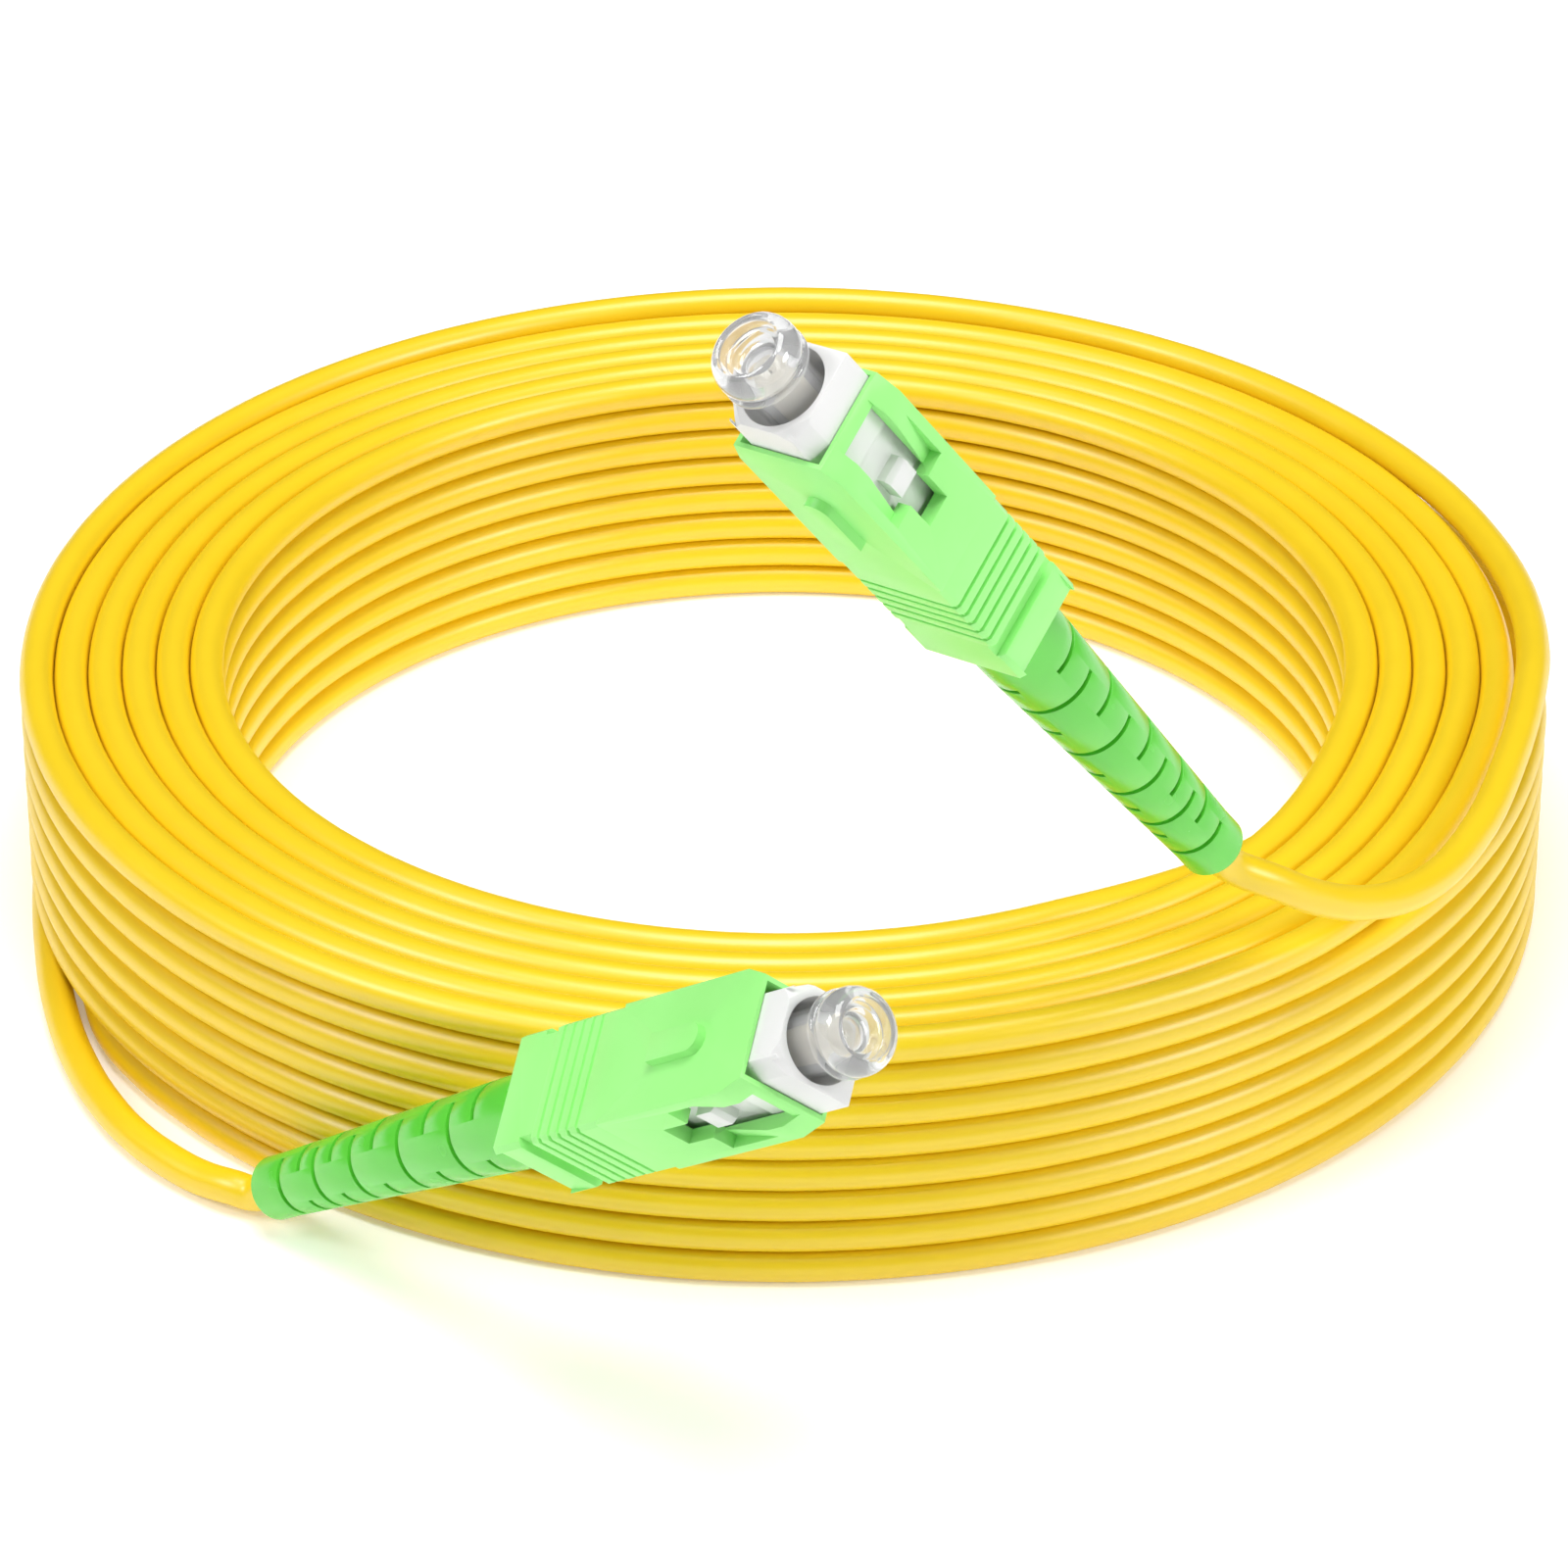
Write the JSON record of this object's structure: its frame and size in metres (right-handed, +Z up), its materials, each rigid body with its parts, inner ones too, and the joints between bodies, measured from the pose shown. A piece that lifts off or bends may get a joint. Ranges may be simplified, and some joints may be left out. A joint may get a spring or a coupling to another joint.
{
  "type": "fiber optic patch cord",
  "caption": "Single-fibre patch cord: yellow jacketed cable wound into a flat coil, each end in a green push-pull plug with a slotted tapered boot and a clear dust cap.",
  "frame": {"origin": "bottom centre of the whole part, on the surface the coil lies on", "axes": "+Z up, square to the coil; +Y from the side with the two plugs towards the far side of the coil; +X to the right"},
  "size_m": [0.1176, 0.1486, 0.0868],
  "materials": {
    "jacket": "smooth yellow PVC jacket",
    "housing": "light green moulded plastic",
    "boot": "smooth green soft plastic",
    "plug_frame": "white moulded plastic",
    "dust_cap": "clear soft plastic",
    "ceramic": "polished zirconia ceramic",
    "steel": "bright turned steel",
    "crimp": "crimped metal",
    "yarn": "aramid strength yarn",
    "tube": "white polymer",
    "fibre": "bare glass fibre"
  },
  "bodies": {
    "cord": {"cable_coil": "jacket", "cable_tail_a": "jacket", "cable_tail_b": "jacket", "plug_frame_a": "plug_frame", "stop_ring_a": "steel", "crimp_sleeve_a": "crimp", "aramid_yarn_a": "yarn", "inner_tube_a": "tube", "jacket_end_a": "jacket", "boot_a": "boot", "ferrule_spring_a": "steel", "plug_frame_b": "plug_frame", "stop_ring_b": "steel", "crimp_sleeve_b": "crimp", "aramid_yarn_b": "yarn", "inner_tube_b": "tube", "jacket_end_b": "jacket", "boot_b": "boot", "ferrule_spring_b": "steel"},
    "grip_a": {"outer_housing_a": "housing"},
    "ferrule_set_a": {"ferrule_a": "ceramic", "ferrule_flange_a": "steel", "buffered_fiber_a": "tube", "glass_fiber_a": "fibre"},
    "cap_a": {"dust_cap_a": "dust_cap"},
    "grip_b": {"outer_housing_b": "housing"},
    "ferrule_set_b": {"ferrule_b": "ceramic", "ferrule_flange_b": "steel", "buffered_fiber_b": "tube", "glass_fiber_b": "fibre"},
    "cap_b": {"dust_cap_b": "dust_cap"}
  },
  "joints": [
    {"name": "housing_slide_a", "type": "slide", "parent": "cord", "child": "grip_a", "axis": [0.4821, 0.395, -0.7821], "range_m": [0, 0.0018]},
    {"name": "ferrule_float_a", "type": "slide", "parent": "cord", "child": "ferrule_set_a", "axis": [0.4821, 0.395, -0.7821], "range_m": [0, 0.0018], "stiffness_N_per_m": 2000, "springref_m": -0.003, "deforming": ["ferrule_spring_a"]},
    {"name": "cap_pull_a", "type": "slide", "parent": "ferrule_set_a", "child": "cap_a", "axis": [-0.4821, -0.395, 0.7821], "range_m": [0, 0.014]},
    {"name": "housing_slide_b", "type": "slide", "parent": "cord", "child": "grip_b", "axis": [-0.6273, 0.5482, -0.5533], "range_m": [0, 0.0018]},
    {"name": "ferrule_float_b", "type": "slide", "parent": "cord", "child": "ferrule_set_b", "axis": [-0.6273, 0.5482, -0.5533], "range_m": [0, 0.0018], "stiffness_N_per_m": 2000, "springref_m": -0.003, "deforming": ["ferrule_spring_b"]},
    {"name": "cap_pull_b", "type": "slide", "parent": "ferrule_set_b", "child": "cap_b", "axis": [0.6273, -0.5482, 0.5533], "range_m": [0, 0.014]}
  ]
}
